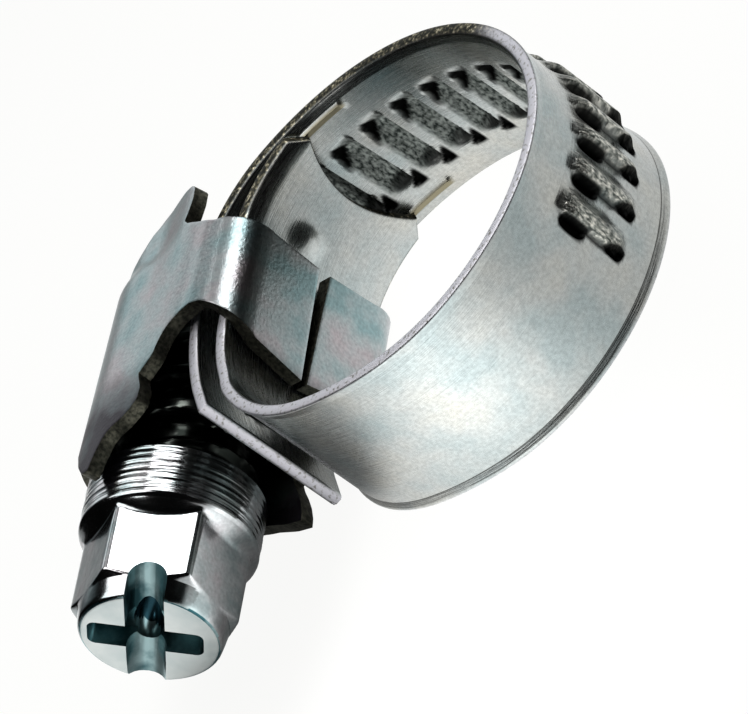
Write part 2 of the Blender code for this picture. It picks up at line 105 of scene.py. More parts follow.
def new_material(name):
    """An empty node material, with the shader that finishes it."""
    material = bpy.data.materials.new(name)
    material.use_nodes = True
    return material, material.node_tree, material.node_tree.nodes["Principled BSDF"]


acrylic, tree, shader = new_material("lit white acrylic")
# Acrylic lit from below looks white all over, however little light falls on it, so a camera ray sees mostly
# an even glow. What the metal reflects is the table's glow with a painted pool of light and the clamp's
# painted shadow in it.
shader.inputs["Base Color"].default_value = linear("#8C8C8B")
shader.inputs["Roughness"].default_value = 0.6
shader.inputs["Emission Color"].default_value = linear("#F8F9F9")
TABLE_GLOW = 0.86
PAINTED_SPOT_GLOW = 2.8
PAINTED_SPOT_AT = Vector((-18.0, -6.5, 0.0)) * MM
PAINTED_SPOT_REACH = 18.5 * MM
LOOP_GLOW = 0.7
LOOP_MIDDLE = Vector((6.5, 1.5, 0.0)) * MM
LOOP_REACH = 9.0 * MM
FAR_OFF = (38.0 * MM, 110.0 * MM)
FAR_SHARE = 0.25
SHADOW_UNDER = Vector((-4.0, 9.5, 0.0)) * MM
SHADOW_SIZE = Vector((12.0 * MM, 5.0 * MM, 1.0))
SHADOW_EDGE = (0.75, 1.45)
SHADOW_LIGHT = 0.2
EVEN_GLOW = 1.02
EVEN_SHARE = 0.95
TABLE_SIZE = 2.0
TABLE_LEVEL = -0.02 * MM
# The glow's strength: a painted pool of light left of the loop and a fainter one inside it, times the
# clamp's painted shadow, fading far off.
spot = add_node(tree, "ShaderNodeTexCoord")
off = add_node(
    tree, "ShaderNodeVectorMath", {0: spot.outputs["Object"], 1: PAINTED_SPOT_AT},
    operation="DISTANCE",
)
glow = add_node(
    tree, "ShaderNodeMapRange",
    {"Value": off.outputs["Value"], "From Max": PAINTED_SPOT_REACH, "To Min": PAINTED_SPOT_GLOW, "To Max": TABLE_GLOW},
    interpolation_type="SMOOTHSTEP",
)
within = add_node(
    tree, "ShaderNodeVectorMath", {0: spot.outputs["Object"], 1: LOOP_MIDDLE},
    operation="DISTANCE",
)
loop_glow = add_node(
    tree, "ShaderNodeMapRange",
    {"Value": within.outputs["Value"], "From Max": LOOP_REACH, "To Min": LOOP_GLOW, "To Max": 0.0},
    interpolation_type="SMOOTHSTEP",
)
both_glows = add_node(
    tree, "ShaderNodeMath", {0: glow.outputs["Result"], 1: loop_glow.outputs["Result"]}
)
under = add_node(
    tree, "ShaderNodeMapping",
    {"Vector": spot.outputs["Object"], "Location": SHADOW_UNDER, "Scale": SHADOW_SIZE},
    vector_type="TEXTURE",
)
beside = add_node(tree, "ShaderNodeVectorMath", {0: under.outputs["Vector"]}, operation="LENGTH")
open_share = add_node(
    tree, "ShaderNodeMapRange",
    {
        "Value": beside.outputs["Value"], "From Min": SHADOW_EDGE[0], "From Max": SHADOW_EDGE[1],
        "To Min": SHADOW_LIGHT,
    },
    interpolation_type="SMOOTHSTEP",
)
far_share = add_node(
    tree, "ShaderNodeMapRange",
    {
        "Value": off.outputs["Value"], "From Min": FAR_OFF[0], "From Max": FAR_OFF[1],
        "To Min": 1.0, "To Max": FAR_SHARE,
    },
    interpolation_type="SMOOTHSTEP",
)
lit = add_node(
    tree, "ShaderNodeMath", {0: both_glows.outputs["Value"], 1: open_share.outputs["Result"]},
    operation="MULTIPLY",
)
strength = add_node(
    tree, "ShaderNodeMath", {0: lit.outputs["Value"], 1: far_share.outputs["Result"]},
    operation="MULTIPLY",
)
tree.links.new(strength.outputs["Value"], shader.inputs["Emission Strength"])
even = add_node(tree, "ShaderNodeEmission", {"Color": linear("#FBFBFA"), "Strength": EVEN_GLOW})
sight = add_node(tree, "ShaderNodeLightPath")
evenness = add_node(
    tree, "ShaderNodeMath", {0: sight.outputs["Is Camera Ray"], 1: EVEN_SHARE},
    operation="MULTIPLY",
)
both = add_node(
    tree, "ShaderNodeMixShader",
    {0: evenness.outputs["Value"], 1: shader.outputs["BSDF"], 2: even.outputs["Emission"]},
)
tree.links.new(both.outputs["Shader"], tree.nodes["Material Output"].inputs["Surface"])
bpy.ops.mesh.primitive_plane_add(size=TABLE_SIZE, location=(0, 0, TABLE_LEVEL))
floor = bpy.context.object
floor.name = "floor"
floor.data.materials.append(acrylic)

# Each light: name, azimuth and elevation in degrees, radius in metres, and brightness.
SOFT_LIGHTS = (
    ("overhead", 90.0, 86.0, 0.26, 2.8),
    ("head side", 166.0, 22.0, 0.035, 6.0),
    ("key", -30.0, 45.0, 0.13, 6.0),
    ("beside the key", 18.0, 49.0, 0.14, 0.7),
    ("corner glint", 32.0, 44.0, 0.03, 3.2),
)
LIGHT_DISTANCE = 0.5
PALE_WALL = (0.72, 0.62, 0.30)
for name, azimuth, elevation, radius, radiance in SOFT_LIGHTS:
    lamp = bpy.data.lights.new(name, "AREA")
    lamp.shape = "DISK"
    lamp.size = 2 * radius
    lamp.energy = radiance * pi * pi * radius ** 2
    towards = Vector((
        cos(radians(azimuth)) * cos(radians(elevation)),
        sin(radians(azimuth)) * cos(radians(elevation)),
        sin(radians(elevation)),
    ))
    holder = bpy.data.objects.new(name, lamp)
    holder.location = towards * LIGHT_DISTANCE
    holder.rotation_euler = towards.to_track_quat("Z", "Y").to_euler()
    holder.visible_camera = False
    bpy.context.scene.collection.objects.link(holder)

world = bpy.data.worlds.new("studio")
world.use_nodes = True
tree = world.node_tree
around = add_node(tree, "ShaderNodeTexCoord")
wall_side = add_node(
    tree, "ShaderNodeVectorMath", {0: around.outputs["Generated"], 1: PALE_WALL},
    operation="DOT_PRODUCT",
)
room = add_node(
    tree, "ShaderNodeValToRGB", {"Fac": wall_side.outputs["Value"]},
    ramp=(
        (0.85, (0.004, 0.004, 0.004, 1)), (0.92, (0.2, 0.22, 0.23, 1)),
        (0.955, (0.5, 0.53, 0.54, 1)), (0.975, (1.4, 1.46, 1.48, 1)),
    ),
)
seen = add_node(tree, "ShaderNodeLightPath")
shown = add_node(
    tree, "ShaderNodeMix",
    {0: seen.outputs["Is Camera Ray"], 6: room.outputs["Color"], 7: linear("#F4F4F3")},
    data_type="RGBA",
)
tree.links.new(shown.outputs[2], tree.nodes["Background"].inputs["Color"])
bpy.context.scene.world = world

# Strip
# One length of spring steel strip, pressed flat with a sawtooth thread and then bent round. Its tongue end
# lies inside the loop on the housing's legs, and the threaded end comes back over it, below the screw.
# Sizes are in millimetres, and a bend is its inner radius and its angle in degrees.
BAND_WIDTH = 7.5
BAND_THICKNESS = 0.55
TONGUE_BEND_X = 2.5
HEAD_BEND_X = -1.4
FREE_BEND_X = 0.5
TONGUE_BEND = (5.4, 56.0)
LOOP_BENDS = ((6.9, 81.5), (13.1, 17.5), (7.85, 119.0))
SIDE_ANGLE = 87.3
ENTRY_RADIUS = 5.35
FREE_BEND = (12.4, 31.0)
FIXED_LEVEL = 7.35
THREADED_LEVEL = 9.25
THREAD_PITCH = 1.76
THREAD_START = 32.69
THREAD_LEAN = 0.07
LEAN_WITHIN = 2.2
LEAN_RUN_IN = 3.0
LEAN_RUN_OUT = 1.2
LAND_HEIGHT = 0.43
LAND_RISE = 0.09
LAND_FALL = (0.22, 0.54)
TORN_END = (2.1, 0.8)
DRAWN_END = (1.95, 1.1)
WALL = 0.2
WEB_TEAR = ((1.36, 1.35), (1.27, 0.8), (1.36, 0.15), (1.55, -0.05), (1.84, -0.05), (1.84, 1.3), (1.62, 1.45))
FOOT_TEAR = ((0.0, -0.7), (-0.05, -1.87), (0.54, -2.07), (0.33, -1.25))
INNER_WEB_TEAR = ((1.55, 0.25), (1.33, 1.75), (0.72, 1.4))
INNER_FOOT_TEAR = ((-0.12, -1.35), (-0.16, -2.36), (0.62, -2.25))
TEAR_ROUNDNESS = 14.0
TEAR_DEPTH = (0.3, 0.16)
TEAR_EDGE = 0.01
TEAR_SLOPE = 0.08
EDGE_ROLL_LIFT = 0.15
EDGE_ROLL_WIDTH = 0.45
EDGE_ROLL_START = 3.3
TONGUE_ROLL_LIFT = 0.28
TONGUE_ROLL_WIDTH = 0.8
TONGUE_ROLL_END = 5.0
EDGE_ROUND = 0.13
NOTCH_DEPTH = 1.05
NOTCH_BLEND = 3.2
CORNER_CHAMFER = 0.7
DIMPLE = (1.25, 0.3, 4.15, 0.75)
RIB_HALF = 0.2
RIB_FLAT = 0.1
RIB_SLOPE = 0.12
RIB_RUN_OUT = 0.2
RIB_ACROSS = 3.05
RIB_HEIGHT = 0.14
RIB_ENDS = (52.84, 55.59)

entry_angle = 360.0 - sum(angle for _, angle in LOOP_BENDS) - SIDE_ANGLE


def side_radius():
    """The inner radius of the bend that brings the strip back to its level under the screw."""
    heading = pi
    rise = FIXED_LEVEL - THREADED_LEVEL
    share = 0.0
    for radius, angle in (*LOOP_BENDS, (None, SIDE_ANGLE), (ENTRY_RADIUS, entry_angle)):
        turned = heading + radians(angle)
        if radius is None:
            share = cos(heading) - cos(turned)
        else:
            rise += radius * (cos(heading) - cos(turned))
        heading = turned
    return -rise / share


class Strip:
    """The strip's inner face as straight runs and bends. Distances are along the middle of its thickness."""

    def __init__(self):
        turn = radians(TONGUE_BEND[1])
        self.runs = []
        self.x = TONGUE_BEND_X + TONGUE_BEND[0] * sin(turn)
        self.y = FIXED_LEVEL - TONGUE_BEND[0] * (1 - cos(turn))
        self.heading = pi - turn
        self.length = 0.0
        self.bend(*TONGUE_BEND)
        self.straight_to(HEAD_BEND_X)
        self.head_bend = self.length
        for bend in LOOP_BENDS:
            self.bend(*bend)
        self.bend(side_radius(), SIDE_ANGLE)
        self.bend(ENTRY_RADIUS, entry_angle)
        self.mouth_x = self.x
        self.mouth = self.length
        self.straight_to(FREE_BEND_X)
        self.bend(*FREE_BEND)

    def straight_to(self, x):
        self.runs.append((self.length, self.x, self.y, self.heading, 0.0))
        self.length += self.x - x
        self.x = x

    def bend(self, radius, angle):
        self.runs.append((self.length, self.x, self.y, self.heading, radius))
        turned = self.heading + radians(angle)
        self.x += radius * (sin(turned) - sin(self.heading))
        self.y += radius * (cos(self.heading) - cos(turned))
        self.heading = turned
        self.length += (radius + BAND_THICKNESS / 2) * radians(angle)

    def place(self, distance, height, across):
        """Points at these distances from the tongue's end, raised off the inner face, in millimetres."""
        runs = np.array(self.runs)
        index = np.searchsorted(runs[:, 0], np.maximum(distance, 0.0), side="right") - 1
        start, x, y, heading, radius = runs[index].T
        past = distance - start
        bent = radius > 0
        turned = heading + np.where(bent, past / (radius + BAND_THICKNESS / 2), 0.0)
        x = np.where(bent, x + radius * (np.sin(turned) - np.sin(heading)), x + past * np.cos(heading))
        y = np.where(bent, y + radius * (np.cos(heading) - np.cos(turned)), y + past * np.sin(heading))
        return np.column_stack((x + height * np.sin(turned), y - height * np.cos(turned), across))


def ease(share):
    """0 to 1 with a level start and end."""
    share = np.clip(share, 0.0, 1.0)
    return share * share * (3 - 2 * share)


def outside(outline, along, across):
    """How far points lie outside a convex hole with softened corners, and the direction out of it."""
    total = 0.0
    out_along = 0.0
    out_across = 0.0
    for (x0, y0), (x1, y1) in zip(outline, outline[1:] + outline[:1]):
        side = sqrt((x1 - x0) ** 2 + (y1 - y0) ** 2)
        nx, ny = (y1 - y0) / side, (x0 - x1) / side
        weight = np.exp(TEAR_ROUNDNESS * ((along - x0) * nx + (across - y0) * ny))
        total = total + weight
        out_along = out_along + weight * nx
        out_across = out_across + weight * ny
    return np.log(total) / TEAR_ROUNDNESS, out_along / total, out_across / total


strip = Strip()
# The mesh is finer at both ends, on the tongue, and over each pitch of the thread.
TONGUE_LENGTH = 7.0
LAND_COLUMNS = (
    0.0, 0.035, 0.07, 0.11, 0.155, 0.2, 0.25, 0.31, 0.38, 0.46, 0.54, 0.62, 0.7, 0.78, 0.86, 0.93
)
land_count = int((strip.length - THREAD_START) / THREAD_PITCH)
columns = [0.0, 0.03, 0.08, 0.16, *np.arange(0.3, TONGUE_LENGTH, 0.2)]
columns += list(np.arange(TONGUE_LENGTH, THREAD_START - THREAD_PITCH - 0.1, 0.35))
for land in range(-1, land_count):
    columns += [THREAD_START + (land + share) * THREAD_PITCH for share in LAND_COLUMNS]
columns = [c for c in columns if c < strip.length - 0.25]
columns += [strip.length - d for d in (0.2, 0.1, 0.04, 0.0)]
half = BAND_WIDTH / 2
margin_rows = [half - d for d in (0.0, 0.02, 0.06, 0.12, 0.2, 0.32, 0.41, 0.45, 0.49)]
margin_rows += [RIB_ACROSS + RIB_HALF * s for s in (0.5, 0.0, -0.5, -1.0)] + [2.65, 2.45, 2.3]
rows = sorted([-r for r in margin_rows] + list(np.arange(-22, 23) * 0.1) + margin_rows)
columns = np.array(columns)
rows = np.array(rows)

bpy.ops.object.select_all(action="DESELECT")
bpy.ops.mesh.primitive_grid_add(x_subdivisions=len(columns) - 1, y_subdivisions=len(rows) - 1, size=2.0)
band = bpy.context.object
band.name = "pressed_strip"
bm = bmesh.new()
bm.from_mesh(band.data)
for vert in bm.verts:
    column = round((vert.co.x + 1) / 2 * (len(columns) - 1))
    row = round((vert.co.y + 1) / 2 * (len(rows) - 1))
    vert.co = (columns[column], rows[row], 0.0)


def in_thread(distance):
    """Which land of the thread points belong to, and how far they lie past its steep foot."""
    land = np.floor((distance - THREAD_START) / THREAD_PITCH + 1e-6)
    return land, distance - THREAD_START - land * THREAD_PITCH


def tear(distance, across, web_tear=WEB_TEAR, foot_tear=FOOT_TEAR):
    """The nearer of the two tears of a pitch: distance outside it, and the way out."""
    land, past = in_thread(distance)
    best = (np.full(distance.shape, 9.0), np.zeros(distance.shape), np.zeros(distance.shape))
    for outline, shift, earliest in (
        (web_tear, 0.0, -1), (web_tear, THREAD_PITCH, -1),
        (foot_tear, 0.0, 0), (foot_tear, -THREAD_PITCH, 0),
    ):
        owner = land - np.sign(shift)
        found = outside(outline, past + shift, across)
        real = (owner >= earliest) & (owner < land_count) & (found[0] < best[0])
        best = tuple(np.where(real, new, old) for new, old in zip(found, best))
    return best


faces = list(bm.faces)
centres = np.array([f.calc_center_median() for f in faces])
torn = {f for f, gap in zip(faces, tear(centres[:, 0], centres[:, 1])[0]) if gap < 0}
rim = [v for v in bm.verts if 0 < sum(f in torn for f in v.link_faces) < len(v.link_faces)]
for _ in range(3):
    spots = np.array([v.co for v in rim])
    gap, out_along, out_across = tear(spots[:, 0], spots[:, 1])
    for vert, g, a, c in zip(rim, gap, out_along, out_across):
        if abs(g) < 0.2:
            vert.co.x -= g * a
            vert.co.y -= g * c
made = bmesh.ops.extrude_face_region(bm, geom=list(bm.faces))
outer = [v for v in made["geom"] if isinstance(v, bmesh.types.BMVert)]
bmesh.ops.translate(bm, verts=outer, vec=(0, 0, 1))
bm.to_mesh(band.data)
bm.free()

flat = np.empty(len(band.data.vertices) * 3)
band.data.vertices.foreach_get("co", flat)
distance, across, layer = flat.reshape(-1, 3).T
across_size = np.abs(across)
land, past = in_thread(distance)
threaded = (land >= 0) & (land < land_count)
land_end, end_length = np.where(across < 0, np.array(TORN_END)[:, None], np.array(DRAWN_END)[:, None])
land_middle = threaded * (1 - ease((across_size - land_end + end_length) / end_length))
foot = np.where(layer > 0.5, 0.0, WALL)
share = (past - foot) / THREAD_PITCH
saw = ease(share / LAND_RISE) * (1 - ease((share - LAND_FALL[0]) / LAND_FALL[1]))
height = LAND_HEIGHT * land_middle * saw
roll = ease(distance - strip.head_bend - EDGE_ROLL_START) * ease(strip.mouth - distance)
height += EDGE_ROLL_LIFT * roll * np.clip((across_size - half + EDGE_ROLL_WIDTH) / EDGE_ROLL_WIDTH, 0, 1)
tongue_roll = ease(TONGUE_ROLL_END - distance) * (across > 0)
curl = np.clip((across_size - half) / TONGUE_ROLL_WIDTH + 1, 0, 1) ** 1.5
height += TONGUE_ROLL_LIFT * tongue_roll * curl
dimple_radius, dimple_depth, dimple_x, dimple_z = DIMPLE
dimple_turn = asin((dimple_x - TONGUE_BEND_X) / TONGUE_BEND[0])
dimple_at = (TONGUE_BEND[0] + BAND_THICKNESS / 2) * (radians(TONGUE_BEND[1]) - dimple_turn)
from_dimple = np.hypot(distance - dimple_at, across - dimple_z) / dimple_radius
height -= dimple_depth * (1 - ease(from_dimple)) ** 1.5
rib = (1 - ease((np.abs(across_size - RIB_ACROSS) - RIB_FLAT) / RIB_SLOPE)) * (layer < 0.5)
rib *= ease((distance - RIB_ENDS[0]) / RIB_RUN_OUT) * ease((RIB_ENDS[1] - distance) / RIB_RUN_OUT)
height -= RIB_HEIGHT * rib
to_edge = np.minimum(half - across_size, np.minimum(distance, strip.length - distance))
inset = np.clip(1 - to_edge / EDGE_ROUND, 0, 1)
inner_gap = tear(distance, across, INNER_WEB_TEAR, INNER_FOOT_TEAR)[0]
gap = np.where(layer > 0.5, tear(distance, across)[0], inner_gap)
pocket = ease((-gap - TEAR_EDGE) / TEAR_SLOPE)
height += pocket * np.where(layer > 0.5, -TEAR_DEPTH[0], TEAR_DEPTH[1])
height += np.where(layer > 0.5, BAND_THICKNESS, 0.0)
height += np.where(layer > 0.5, -1, 1) * EDGE_ROUND * (1 - np.sqrt(1 - inset ** 2))
lean = np.clip((half - across_size) / (half - LEAN_WITHIN), 0, 1)
lean *= ease((distance - THREAD_START + LEAN_RUN_IN) / LEAN_RUN_IN)
lean *= ease((strip.length - distance) / LEAN_RUN_OUT)
flat_half = half - CORNER_CHAMFER
fade = np.clip(1 - distance / NOTCH_BLEND, 0, 1)
hollow = NOTCH_DEPTH * (1 - np.minimum(1, across_size / flat_half) ** 2)
set_back = fade * (hollow + np.maximum(0, across_size - flat_half))
placed = strip.place(distance + THREAD_LEAN * across * lean + set_back, height, across)

COLLAR_BACK_X = -5.75
SCREW_LEVEL = 13.35
HEAD_FACE_X = -12.7
low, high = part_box("worm_screw")
origin = np.array((
    low.x / MM - HEAD_FACE_X, (low.y + high.y) / 2 / MM - SCREW_LEVEL, (low.z + high.z) / 2 / MM
))


def settle(piece, points):
    """Puts a piece modelled in millimetres about the loop's middle where the solids have it."""
    piece.data.vertices.foreach_set("co", ((points + origin) * MM).ravel())
    piece.data.update()
    piece.matrix_world.identity()


settle(band, placed)
# Where each finish of the strip lies: 1 is all of it, and 0 is none.
STEEP_FOOT = 0.09
SHEARED_WIDTH = 0.1
TEAR_RIM = 0.02
TEAR_SHADE_WIDTH = 0.09
DULL_THREAD = (52.5, 8.0)
DULL_TONGUE = 6.0
DULL_BLEND = 2.5
from_dull = np.minimum(np.abs(distance - DULL_THREAD[0]) - DULL_THREAD[1], distance - DULL_TONGUE)
on_crease = (np.abs(half - across_size - EDGE_ROLL_WIDTH) < 0.01) * (layer > 0.5) * (across < 0)
steep_foot = threaded * land_middle * (1 - ease(np.abs(past) / STEEP_FOOT)) * (layer > 0.5)
on_land = np.clip(land_middle * 1.6, 0, 1)
for name, values in (
    ("drawn", on_land * saw ** 0.6 * (layer > 0.5)),
    ("cupped", on_land * ease((saw - 0.02) / 0.1) * (layer < 0.5)),
    # The ribs' khaki tint is a painted reflection.
    ("rib", rib),
    ("sheared", 1 - ease(to_edge / SHEARED_WIDTH)),
    ("dulled", 1 - ease(from_dull / DULL_BLEND)),
    # Painted shade: a dark line along the crease where the edge roll starts.
    ("painted_crease_shade", roll * on_crease),
    # Painted shade: black in the pockets of the tears and along each land's steep foot.
    ("painted_tear_shade", np.maximum(1 - ease((gap + TEAR_RIM) / TEAR_SHADE_WIDTH), 0.7 * steep_foot)),
):
    attribute = band.data.attributes.new(name, "FLOAT", "POINT")
    attribute.data.foreach_set("value", values.astype(float))
band.data.uv_layers.remove(band.data.uv_layers[0])
uv = band.data.uv_layers.new(name="rolling")
corner_verts = np.empty(len(band.data.loops), int)
band.data.loops.foreach_get("vertex_index", corner_verts)
uv.data.foreach_set("uv", np.column_stack((distance, across))[corner_verts].ravel())
bpy.ops.object.select_all(action="DESELECT")
band.select_set(True)
bpy.context.view_layer.objects.active = band
bpy.ops.object.mode_set(mode="EDIT")
bpy.ops.mesh.select_all(action="SELECT")
bpy.ops.mesh.normals_make_consistent(inside=False)
bpy.ops.object.mode_set(mode="OBJECT")
bpy.ops.object.shade_smooth_by_angle(angle=radians(40))

steel, tree, shader = new_material("zinc plated spring steel")
# Cold rolled strip with a thin bright zinc coat: a soft mirror, cloudy in patches of a few millimetres, with
# fine rolling lines along it. Where the thread is pressed it is drawn rough. Its sheared edges are pale, but
# brown on the tongue and along the thread. Painted shade makes the thread's torn pockets and the foot of
# each land black and darkens the crease of the edge roll, and the ribs carry a painted khaki reflection.
coat = add_node(tree, "ShaderNodeTexCoord")
MOTTLE_SIZE = 3.2
GRAIN_SIZE = 0.16
LINE_LENGTH = 1.6
LINE_WIDTH = 0.06
LINE_DEPTH = 0.006
DRAG_MARKS_PER_MM = (9.0, 4.0, 1.0)
ROUGH_DEPTH = 0.1
# Most of a noise pattern lies between these two values.
NOISE_LOW = 0.3
NOISE_HIGH = 0.7
mottle = add_node(
    tree, "ShaderNodeTexNoise",
    {"Vector": coat.outputs["Object"], "Scale": 1000 / MOTTLE_SIZE, "Detail": 3.0},
)
tint = add_node(
    tree, "ShaderNodeValToRGB", {"Fac": mottle.outputs["Fac"]},
    ramp=((0.34, linear("#A0A9A9")), (0.5, linear("#AEB1AF")), (0.68, linear("#B6B5AF"))),
)
# Real grain is finer than a pixel, so it is drawn at three pixels.
grain = add_node(
    tree, "ShaderNodeTexNoise",
    {"Vector": coat.outputs["Object"], "Scale": 1000 / GRAIN_SIZE, "Detail": 2.0},
)
shade = add_node(
    tree, "ShaderNodeMapRange",
    {"Value": grain.outputs["Fac"], "From Min": NOISE_LOW, "From Max": NOISE_HIGH, "To Min": 0.8},
)
base = add_node(
    tree, "ShaderNodeMix", {0: 1.0, 6: tint.outputs["Color"], 7: shade.outputs["Result"]},
    data_type="RGBA", blend_type="MULTIPLY",
)
along = add_node(
    tree, "ShaderNodeMapping",
    {"Vector": coat.outputs["UV"], "Scale": (1 / LINE_LENGTH, 1 / LINE_WIDTH, 1.0)},
)
lines = add_node(
    tree, "ShaderNodeTexNoise", {"Vector": along.outputs["Vector"], "Scale": 1.0, "Detail": 2.0}
)
drag = add_node(tree, "ShaderNodeMapping", {"Vector": coat.outputs["UV"], "Scale": DRAG_MARKS_PER_MM})
torn = add_node(
    tree, "ShaderNodeTexNoise", {"Vector": drag.outputs["Vector"], "Scale": 1.0, "Detail": 3.0}
)
drawn_metal = add_node(
    tree, "ShaderNodeValToRGB", {"Fac": torn.outputs["Fac"]},
    ramp=((0.34, linear("#414642")), (0.5, linear("#92948E")), (0.66, linear("#D8D6CD"))),
)
cupped_metal = add_node(
    tree, "ShaderNodeValToRGB", {"Fac": torn.outputs["Fac"]},
    ramp=((0.36, linear("#2F3432")), (0.64, linear("#868B87"))),
)
sheared_metal = add_node(
    tree, "ShaderNodeValToRGB", {"Fac": grain.outputs["Fac"]},
    ramp=((0.28, linear("#8C8A86")), (0.45, linear("#C8C7CC"))),
)
dulled_metal = add_node(
    tree, "ShaderNodeValToRGB", {"Fac": grain.outputs["Fac"]},
    ramp=((0.45, linear("#2A2A24")), (0.6, linear("#6F6A58")), (0.72, linear("#C9C2AC"))),
)
dulled = add_node(tree, "ShaderNodeAttribute", attribute_name="dulled")
edge_metal = add_node(
    tree, "ShaderNodeMix",
    {0: dulled.outputs["Fac"], 6: sheared_metal.outputs["Color"], 7: dulled_metal.outputs["Color"]},
    data_type="RGBA",
)
finish = base.outputs[2]
rough = add_node(
    tree, "ShaderNodeMapRange",
    {
        "Value": lines.outputs["Fac"], "From Min": NOISE_LOW, "From Max": NOISE_HIGH,
        "To Min": 0.2, "To Max": 0.34,
    },
).outputs["Result"]
for mask, colour, roughness in (
    ("drawn", drawn_metal.outputs["Color"], 0.36),
    ("cupped", cupped_metal.outputs["Color"], 0.4),
    # Painted reflection: khaki on the ribs.
    ("rib", linear("#8C8672"), 0.4),
    ("sheared", edge_metal.outputs[2], 0.55),
    # Painted shade along the edge roll's crease.
    ("painted_crease_shade", linear("#3B3B39"), 0.5),
    # Painted shade, black, in the tears' pockets and at the lands' feet.
    ("painted_tear_shade", linear("#0A0B0A"), 0.6),
):
    where = add_node(tree, "ShaderNodeAttribute", attribute_name=mask).outputs["Fac"]
    finish = add_node(tree, "ShaderNodeMix", {0: where, 6: finish, 7: colour}, data_type="RGBA").outputs[2]
    rough = add_node(tree, "ShaderNodeMix", {0: where, 2: rough, 3: roughness}).outputs[0]
tree.links.new(finish, shader.inputs["Base Color"])
tree.links.new(rough, shader.inputs["Roughness"])
shader.inputs["Metallic"].default_value = 1.0
drawn = add_node(tree, "ShaderNodeAttribute", attribute_name="drawn")
rough_height = add_node(
    tree, "ShaderNodeMath", {0: torn.outputs["Fac"], 1: drawn.outputs["Fac"]}, operation="MULTIPLY"
)
fine_height = add_node(
    tree, "ShaderNodeMath", {0: lines.outputs["Fac"], 1: LINE_DEPTH}, operation="MULTIPLY"
)
relief_height = add_node(
    tree, "ShaderNodeMath",
    {0: rough_height.outputs["Value"], 1: ROUGH_DEPTH, 2: fine_height.outputs["Value"]},
    operation="MULTIPLY_ADD",
)
bump = add_node(tree, "ShaderNodeBump", {"Height": relief_height.outputs["Value"], "Distance": MM})
tree.links.new(bump.outputs["Normal"], shader.inputs["Normal"])
band.data.materials.append(steel)
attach(band, "clamp")
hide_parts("band")

# Housing
# One blank of sheet steel, stamped and folded: a crown over the screw, two walls, and two legs that fold
# under the strip and meet in a seam. Each wall is relieved over the strip, and ends in a cheek and a horn.
SHEET = 0.65
LEG_LEVEL = 6.45
LEG_BEND = 1.7
WALL_HALF = 4.66
WALL_TOP = 9.6
CROWN_TOP = 17.35
CROWN_RADII = (4.82, 4.0)
CHEEK_X = -7.4
HORN_X = 6.4
CROWN_HEAD_X = -4.9
CROWN_TAIL_X = 4.3
TAIL_CURL = 0.24
TAIL_CURL_X = 3.2
TAIL_CURL_RUN = 1.2
SWELL = 0.05
SWELL_TOP = 9.4
SWELL_BLENDS = (0.7, 0.5)
WORN_EDGE = 0.08
SEAM_TAIL = 0.3
SEAM_HEAD = 0.15
RELIEF_CENTRE = (-2.75, 8.7)
RELIEF_RADIUS = 1.9
LEG_HEAD = ((-2.95, 0.0), (-2.3, 3.5))
LEG_TAIL = ((2.75, 0.0), (3.0, 3.5))


def crown_taper(x):
    """The crown's outer radius, which narrows from the collar's end to the thread's end."""
    return CROWN_RADII[0] + (CROWN_RADII[1] - CROWN_RADII[0]) * (x - CHEEK_X) / (HORN_X - CHEEK_X)


def crown_radius(x):
    """The crown's outer radius, curled in a little at the tail."""
    return crown_taper(x) - TAIL_CURL * float(ease((x - TAIL_CURL_X) / TAIL_CURL_RUN))


def girth(x, y):
    """A side view level as a distance round the sheet: 0 where the crown starts, less on the wall."""
    radius = crown_radius(x)
    up = y - CROWN_TOP + crown_taper(x)
    return up if up < 0 else radius * asin(min(1.0, up / radius))


def on_sheet(x, around):
    """The outer face of the sheet at this x and distance round it."""
    radius = crown_radius(x)
    centre = CROWN_TOP - crown_taper(x)
    if around >= 0:
        return (x, centre + radius * sin(around / radius), radius * cos(around / radius))
    y = centre + around
    spread = float(ease((y - WALL_TOP) / (centre - WALL_TOP)))
    swell = ease((SWELL_TOP - y) / SWELL_BLENDS[0]) * ease((y - LEG_LEVEL - LEG_BEND) / SWELL_BLENDS[1])
    swell = float(swell)
    return (x, y, WALL_HALF + SWELL * swell + (radius - WALL_HALF) * spread)


def along_line(points, count):
    """This many points evenly spaced along a line through the given points."""
    points = np.array(points, float)
    steps = np.r_[0, np.cumsum(np.hypot(*np.diff(points, axis=0).T))]
    wanted = np.linspace(0, steps[-1], count)
    return np.column_stack([np.interp(wanted, steps, points[:, k]) for k in range(2)])


# The blank's edges, as points of the side view: the relief over the strip, the mouth's lip, the tail, the
# foot and the back of the horn, and the cheek.
relief = [
    (RELIEF_CENTRE[0] + RELIEF_RADIUS * cos(radians(t)), RELIEF_CENTRE[1] + RELIEF_RADIUS * sin(radians(t)))
    for t in range(-17, 82, 7)
]
wall_head = relief + [(-2.75, 10.85), (-3.15, 11.3)]
lip = [(-3.15, 11.3), (-3.45, 11.2), (-4.0, 10.95), (-4.6, 10.97), (-4.96, 11.3), (-5.3, 11.75)]
lip += [(-5.5, 12.25), (-5.8, 12.6), (-6.7, 12.97), (-7.35, 13.15)]
wall_tail = [(3.3, 8.15), (3.42, 8.5), (3.8, 9.4), (4.1, 10.1), (4.4, 10.42)]
horn_foot = [(4.4, 10.42), (4.8, 10.22), (5.4, 10.06), (6.0, 10.1), (6.25, 10.3), (6.33, 10.6)]
cheek = [(-7.35, 13.15), (-7.3, 13.6), (-6.5, 14.3), (-6.0, 14.6), (-4.9, 15.4)]
horn = [(6.33, 10.6), (6.42, 11.1), (6.42, 11.8), (6.2, 12.8), (5.7, 13.5), (5.2, 13.95)]
